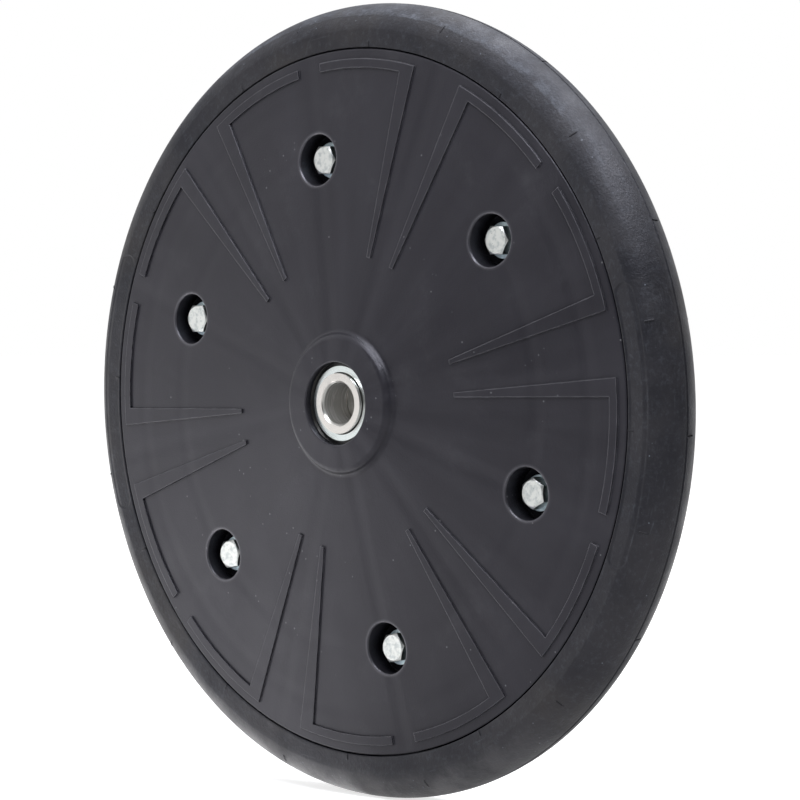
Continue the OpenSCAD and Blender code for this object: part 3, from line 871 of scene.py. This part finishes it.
@dataclass
class TyreRing:
    """The tyre, with sunk panels, vent ticks, a parting line and its foot between the half rims."""

    parting_radius: float = 0.65 * MM
    half_width: float = 16.0 * MM
    crown_radius: float = 16.4 * MM
    crown_middle: float = 174.0 * MM
    inner_edge: float = 169.0 * MM
    edge_round: float = 0.5 * MM
    foot_half: float = 11.8 * MM
    foot_inner: float = 5.2 * MM
    foot_radius: float = 150.2 * MM
    hollow_radius: float = 8.5 * MM
    hollow_middle: float = 172.5 * MM
    wall_start: float = 9.5 * MM
    panel_turns: tuple[float, ...] = (-1.8, 178.2)
    panel_half_arc: float = 19.8
    panel_middle: float = 175.0 * MM
    panel_half: float = 5.2 * MM
    panel_height: float = -0.40 * MM
    panel_slope: float = 0.6 * MM
    panel_end_step: float = 0.12
    rim_ticks: VentTicks = RIM_TICKS
    shoulder_ticks: VentTicks = SHOULDER_TICKS
    crest_cuts: VentTicks = CREST_CUTS
    cut_reach: Span = (0.6 * MM, 4.4 * MM)
    segments: int = 720
    turn_digits: int = 4
    parting_steps: int = 5
    crown_steps: int = 46
    side_steps: int = 18
    round_steps: int = 3
    foot_steps: int = 4
    hollow_steps: int = 16
    sharp_angle: float = 50.0
    outer_radius: float = field(init=False)

    def __post_init__(self) -> None:
        """Takes the outer radius from the CAD tyre."""
        self.outer_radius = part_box("tyre")[1].x

    def half_profile(self) -> list[Point]:
        """Half of the section, from the parting line on the crest round to the middle of the hollow.

        Returns:
            Radius and distance from the middle plane of each point.
        """
        side_turn = math.asin(self.half_width / self.crown_radius)
        half_turn = math.asin(self.parting_radius / 2 / self.crown_radius)
        hollow_turn = math.pi - math.asin(self.foot_inner / self.hollow_radius)
        crest = (self.crown_middle + self.crown_radius, 0.0)
        crown = (self.crown_middle, 0.0)
        wall_end = (self.inner_edge + self.edge_round, self.half_width)
        corner = (wall_end[0], self.half_width - self.edge_round)
        foot = (self.foot_radius, self.foot_half)
        lip = self.foot_radius + self.edge_round
        points = arc(crest, self.parting_radius, math.pi, math.pi / 2 + half_turn, self.parting_steps)
        points += arc(crown, self.crown_radius, 2 * half_turn, side_turn, self.crown_steps)[1:]
        points += line(points[-1], wall_end, self.side_steps)[1:]
        points += arc(corner, self.edge_round, math.pi / 2, math.pi, self.round_steps)[1:]
        points += line((self.inner_edge, self.foot_half), foot, self.foot_steps)
        points += [(self.foot_radius, self.foot_inner), (lip, self.foot_inner)]
        points += arc((self.hollow_middle, 0.0), self.hollow_radius, hollow_turn, 0.0, self.hollow_steps)
        return points

    def panel_level(self, radius: float, angle: float) -> float:
        """Height of the sunk panels on a sidewall, which is below 0.

        Args:
            radius: Distance from the axle.
            angle: Angle on the wheel, in degrees.

        Returns:
            The height.
        """
        level = 0.0
        for turn in self.panel_turns:
            off = (angle - turn + FULL_TURN / 2) % FULL_TURN - FULL_TURN / 2
            along = max(abs(off) - self.panel_half_arc, 0.0) * math.radians(1.0) * radius
            reach = math.hypot(along, radius - self.panel_middle)
            level = max(level, soft_step((self.panel_half - reach) / self.panel_slope))
        return level * self.panel_height

    def panel_end_turns(self) -> list[float]:
        """Angles of the closer rows over the round ends of the panels.

        Returns:
            The angles, in degrees.
        """
        reach = math.degrees(self.panel_half / self.panel_middle) + self.panel_end_step
        steps = range(round(reach / self.panel_end_step) + 1)
        offs = [self.panel_half_arc + self.panel_end_step * i for i in steps]
        both = [sign * off for off in offs for sign in (-1, 1)]
        return [(turn + off) % FULL_TURN for turn in self.panel_turns for off in both]

    def row(self, section: Sequence[Point], angle: float) -> list[Vector]:
        """Points of the section at one place round the wheel, with its raised and cut details.

        Args:
            section: The plain section.
            angle: Angle on the wheel, in degrees.

        Returns:
            The points.
        """
        cos, sin = math.cos(math.radians(angle)), math.sin(math.radians(angle))
        points = []
        for radius, y in section:
            lift = cut = 0.0
            if abs(y) > self.wall_start and radius > self.inner_edge:
                lift = self.panel_level(radius, angle)
                lift += self.rim_ticks.level(radius, angle) + self.shoulder_ticks.level(radius, angle)
            elif self.cut_reach[0] < y < self.cut_reach[1] and radius > self.crown_middle:
                cut = self.crest_cuts.level(self.outer_radius, angle)
            out = y + lift * math.copysign(1.0, y)
            points.append(Vector(((radius - cut) * cos, out, (radius - cut) * sin)))
        return points

    def build(self) -> bpy.types.Object:
        """Revolves the section, with closer rows at each tick.

        Returns:
            The tyre.
        """
        half = self.half_profile()
        section = [(radius, -y) for radius, y in half] + half[-2:0:-1]
        turns = [FULL_TURN * i / self.segments for i in range(self.segments)]
        for ticks in (self.rim_ticks, self.shoulder_ticks, self.crest_cuts):
            turns += ticks.row_turns(self.outer_radius)
        turns += self.panel_end_turns()
        angles = sorted({round(turn, self.turn_digits) for turn in turns})
        maker = MeshMaker("tyre_ring")
        maker.rows([self.row(section, angle) for angle in angles], closed=True)
        return maker.finish(self.sharp_angle)

    def dress(self, book: FinishBook) -> None:
        """Builds the tyre in place of its CAD solid.

        Args:
            book: The finishes.
        """
        tyre = self.build()
        book.dress_piece(tyre, "tyre_rubber")
        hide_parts("tyre")
        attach(tyre, "wheel")
        LOG.info("built %s with %d points", tyre.name, len(tyre.data.vertices))


@dataclass
class HalfRims:
    """The two moulded half rims, whose CAD shapes stay."""

    finish: str = "rim_nylon"

    def dress(self, book: FinishBook) -> None:
        """Gives both halves the moulded finish."""
        for side in Side:
            book.dress_node(f"{side.value}_half_rim", self.finish)


@dataclass
class Fasteners:
    """Bolts, washers and lock nuts on the bolt circle."""

    circle: float = 118.0 * MM
    first_turn: float = 41.2
    head_turns: tuple[float, ...] = (0.0, 1.0, 1.0, 12.0, 12.0, 30.0)
    across_flats: float = 13.0 * MM
    seat: float = 10.8 * MM
    head_height: float = 5.3 * MM
    chamfer_slope: float = 30.0
    top_share: float = 0.93
    shank_radius: float = 4.0 * MM
    shank_plain: float = 10.0 * MM
    length: float = 30.0 * MM
    pitch: float = 1.25 * MM
    thread_depth: float = 0.55 * MM
    thread_slope: float = 1.15
    thread_steps: int = 8
    tip_chamfer: float = 0.9 * MM
    around: int = 48
    sharp_angle: float = 25.0

    def hex_radius(self, angle: float) -> float:
        """Distance of the hexagon's side from its middle at an angle in radians."""
        off = (angle % (math.pi / 3)) - math.pi / 6
        return self.across_flats / 2 / math.cos(off)

    def head_rows(self) -> list[list[Point]]:
        """Rows of the head from its top down, as radius and height over the seat at each angle.

        Returns:
            One list of radius and height for each row.
        """
        turns = [2 * math.pi * i / self.around for i in range(self.around)]
        top_radius = self.top_share * self.across_flats / 2
        drop = math.tan(math.radians(self.chamfer_slope))
        sides = [self.hex_radius(turn) for turn in turns]
        return [
            [(top_radius, self.head_height)] * self.around,
            [(side, self.head_height - (side - top_radius) * drop) for side in sides],
            [(side, 0.0) for side in sides],
        ]

    def thread_rows(self) -> list[list[Point]]:
        """Rows of the shank below the seat, plain at first and then threaded.

        Returns:
            One list of radius and height for each row.
        """
        rows = [[(self.shank_radius, height)] * self.around for height in (0.0, -self.shank_plain)]
        count = round((self.length - self.shank_plain) / self.pitch * self.thread_steps)
        for k in range(1, count + 1):
            depth = self.shank_plain + k * self.pitch / self.thread_steps
            blunt = max(self.tip_chamfer - (self.length - depth), 0.0)
            run_in = min((depth - self.shank_plain) / self.pitch, 1.0)
            row = []
            for i in range(self.around):
                phase = (depth / self.pitch - i / self.around) % 1.0
                groove = max(1.0 - abs(2.0 * phase - 1.0) * self.thread_slope, 0.0)
                cut = self.thread_depth * run_in * groove
                row.append((self.shank_radius - max(cut, blunt), -depth))
            rows.append(row)
        return rows

    def bolt(self, number: int) -> bpy.types.Object:
        """Builds one bolt in its pocket.

        Args:
            number: Place on the bolt circle, from 0.

        Returns:
            The bolt.
        """
        turn = math.radians(self.first_turn + FULL_TURN / len(self.head_turns) * number)
        middle = (self.circle * math.cos(turn), self.circle * math.sin(turn))
        start = math.radians(self.head_turns[number])
        rows = []
        for row in self.head_rows() + self.thread_rows():
            points = []
            for i, (radius, height) in enumerate(row):
                angle = start + 2 * math.pi * i / self.around
                x = middle[0] + radius * math.cos(angle)
                z = middle[1] + radius * math.sin(angle)
                points.append(Vector((x, -self.seat - height, z)))
            rows.append(points)
        maker = MeshMaker(f"hex_bolt_{number + 1}")
        maker.rows(rows)
        return maker.finish(self.sharp_angle)

    def dress(self, book: FinishBook) -> None:
        """Builds the bolts and dresses the washers and nuts.

        Args:
            book: The finishes.
        """
        for number in range(len(self.head_turns)):
            bolt = self.bolt(number)
            book.dress_piece(bolt, "zinc_plate")
            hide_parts("hex_bolts")
            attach(bolt, "wheel")
            LOG.info("built %s", bolt.name)
        for side in Side:
            book.dress_node(f"{side.value}_washers", "washer_zinc")
        book.dress_node("lock_nuts", "zinc_plate")
        book.dress_node("lock_nut_inserts", "insert_nylon")


@dataclass
class Bearings:
    """The two ball bearings and the spacer between their inner rings."""

    ground: tuple[str, ...] = ("outer_ring", "inner_ring", "balls")
    cage: tuple[str, ...] = ("cage_outer_half", "cage_inner_half", "cage_rivets")
    shields: tuple[str, ...] = ("outer_shield", "inner_shield")

    def dress(self, book: FinishBook) -> None:
        """Gives each ring, ball, cage and shield its finish.

        Args:
            book: The finishes.
        """
        for side in Side:
            for piece in self.ground:
                book.dress_node(f"{side.value}_{piece}", "bearing_steel")
            for piece in self.cage + self.shields:
                book.dress_node(f"{side.value}_{piece}", "pressed_steel")
        book.dress_node("bearing_spacer", "bearing_steel")


@dataclass(frozen=True)
class Lamp:
    """One soft light that faces the wheel."""

    name: str
    place: tuple[float, float, float]
    size: tuple[float, float]
    power: float

    def hang(self, colour: Colour) -> None:
        """Hangs the light.

        Args:
            colour: Colour of its light.
        """
        light = bpy.data.lights.new(self.name, "AREA")
        light.shape = "RECTANGLE"
        light.size, light.size_y = self.size
        light.energy = self.power
        light.color = colour
        lamp = bpy.data.objects.new(self.name, light)
        lamp.location = self.place
        lamp.rotation_euler = (-Vector(self.place)).to_track_quat("-Z", "Y").to_euler()
        bpy.context.scene.collection.objects.link(lamp)


@dataclass
class Studio:
    """Pale floor, white surroundings with a dark side, and two soft lights overhead."""

    floor_radius: float = 6.0
    floor_points: int = 64
    floor_shade: float = 0.72
    floor_glow: float = 0.70
    ambient: float = 0.5
    near_floor: float = 1.85
    far_floor: float = 1.0
    floor_reach: Span = (0.6, 2.6)
    floor_dim: float = 0.64
    mirrored_sky: float = 0.85
    sky_dim: float = 0.9
    dim_side: tuple[float, float, float] = (0.848, -0.530, -0.5)
    dim_edge: Span = (-0.30, 0.08)
    lamp_colour: Colour = (0.92, 0.95, 1.0)
    top: Lamp = Lamp("top", (0.15, 0.20, 1.45), (1.5, 0.8), 36.0)
    front: Lamp = Lamp("front", (0.32, -0.88, 1.28), (1.1, 0.45), 14.0)

    def dimming(self, sketch: NodeSketch, direction: Socket, share: float) -> Socket:
        """Brightness in mirrors by direction from the wheel, less a share on the dark side."""
        return sketch.fade(sketch.dot(direction, self.dim_side), *self.dim_edge, 1.0, 1.0 - share)

    def floor_finish(self) -> bpy.types.Material:
        """Makes the floor's material; in mirrors it is brighter near the wheel and dimmer on the dark side.

        Returns:
            The material.
        """
        sketch = MaterialSketch("pale_floor")
        sketch.tree.nodes.remove(sketch.shader)
        path = sketch.add("ShaderNodeLightPath").outputs
        glow = sketch.product(path["Is Camera Ray"], self.floor_glow)
        shine = sketch.add("ShaderNodeEmission", {"Strength": glow}).outputs[0]
        shade = (self.floor_shade,) * 3 + (1.0,)
        matt = sketch.add("ShaderNodeBsdfDiffuse", {"Color": shade}).outputs[0]
        seen = sketch.add("ShaderNodeAddShader", {0: shine, 1: matt}).outputs[0]
        inputs = {0: sketch.place, 1: (1.0, 1.0, 0.0)}
        flat = sketch.add("ShaderNodeVectorMath", inputs, operation="MULTIPLY").outputs[0]
        away = sketch.add("ShaderNodeVectorMath", {0: flat}, operation="NORMALIZE").outputs[0]
        distance = sketch.add("ShaderNodeVectorMath", {0: flat}, operation="LENGTH").outputs["Value"]
        lit = sketch.fade(distance, *self.floor_reach, self.near_floor, self.far_floor)
        level = sketch.product(self.dimming(sketch, away, self.floor_dim), lit)
        mirrored = sketch.add("ShaderNodeEmission", {"Strength": level}).outputs[0]
        ways = {0: path["Is Glossy Ray"], 1: seen, 2: mirrored}
        both = sketch.add("ShaderNodeMixShader", ways).outputs[0]
        sketch.feed(sketch.tree.nodes["Material Output"].inputs["Surface"], both)
        return sketch.material

    def floor(self) -> None:
        """Lays a pale disc under the tyre that still takes its shadow."""
        low = cad_box[0][2]
        maker = MeshMaker("floor")
        edge = arc((0.0, 0.0), self.floor_radius, 0.0, 2 * math.pi, self.floor_points)[:-1]
        maker.mesh.faces.new([maker.mesh.verts.new((x, y, low)) for x, y in edge])
        floor = maker.finish()
        floor.data.materials.append(self.floor_finish())

    def surroundings(self) -> None:
        """Makes the world white to look at, and dimmer in mirrors on the dark side."""
        world = bpy.data.worlds.new("surroundings")
        bpy.context.scene.world = world
        world.use_nodes = True
        sketch = NodeSketch(world.node_tree)
        where = sketch.add("ShaderNodeTexCoord").outputs["Generated"]
        path = sketch.add("ShaderNodeLightPath").outputs
        clear = sketch.math("MAXIMUM", path["Is Camera Ray"], path["Is Transmission Ray"])
        sky = sketch.product(self.dimming(sketch, where, self.sky_dim), self.mirrored_sky)
        mirrored = sketch.product(path["Is Glossy Ray"], sky)
        plain = sketch.math("SUBTRACT", 1.0, sketch.math("MAXIMUM", clear, path["Is Glossy Ray"]))
        strength = sketch.total(clear, mirrored, sketch.product(plain, self.ambient))
        background = sketch.tree.nodes["Background"]
        background.inputs["Color"].default_value = (1.0, 1.0, 1.0, 1.0)
        sketch.feed(background.inputs["Strength"], strength)

    def build(self) -> None:
        """Sets up floor, surroundings and lights."""
        self.floor()
        self.surroundings()
        for lamp in (self.top, self.front):
            lamp.hang(self.lamp_colour)
        LOG.info("set up the studio")


@dataclass
class PhotoCamera:
    """Camera at the photograph's viewing angle."""

    target: tuple[float, float, float] = (0.0, -16.0 * MM, 0.0)
    azimuth: float = 44.39
    elevation: float = 2.71
    distance: float = 1.859
    aim_right: float = 20.2 * MM
    aim_up: float = 1.2 * MM
    lens: float = 175.3
    sensor: float = 36.0

    def build(self) -> None:
        """Places the camera and makes it the scene's own."""
        turn, rise = math.radians(self.azimuth), math.radians(self.elevation)
        out = Vector((math.sin(turn) * math.cos(rise), -math.cos(turn) * math.cos(rise), math.sin(rise)))
        right = Vector((math.cos(turn), math.sin(turn), 0.0))
        aim = Vector(self.target) + right * self.aim_right + out.cross(right) * self.aim_up
        camera = bpy.data.objects.new("photo_camera", bpy.data.cameras.new("photo_camera"))
        camera.data.lens = self.lens
        camera.data.sensor_width = self.sensor
        camera.location = Vector(self.target) + out * self.distance
        camera.rotation_euler = (aim - camera.location).to_track_quat("-Z", "Y").to_euler()
        bpy.context.scene.collection.objects.link(camera)
        bpy.context.scene.camera = camera
        LOG.info("placed the camera")


def main() -> None:
    """Builds the wheel's looks in order."""
    logging.basicConfig(level=logging.INFO, format="%(message)s")
    bpy.context.scene.view_settings.view_transform = "Standard"
    book = FinishBook()
    PhotoCamera().build()
    for assembly in (TyreRing(), HalfRims(), Fasteners(), Bearings()):
        assembly.dress(book)
    Studio().build()


if __name__ == "__main__":
    main()
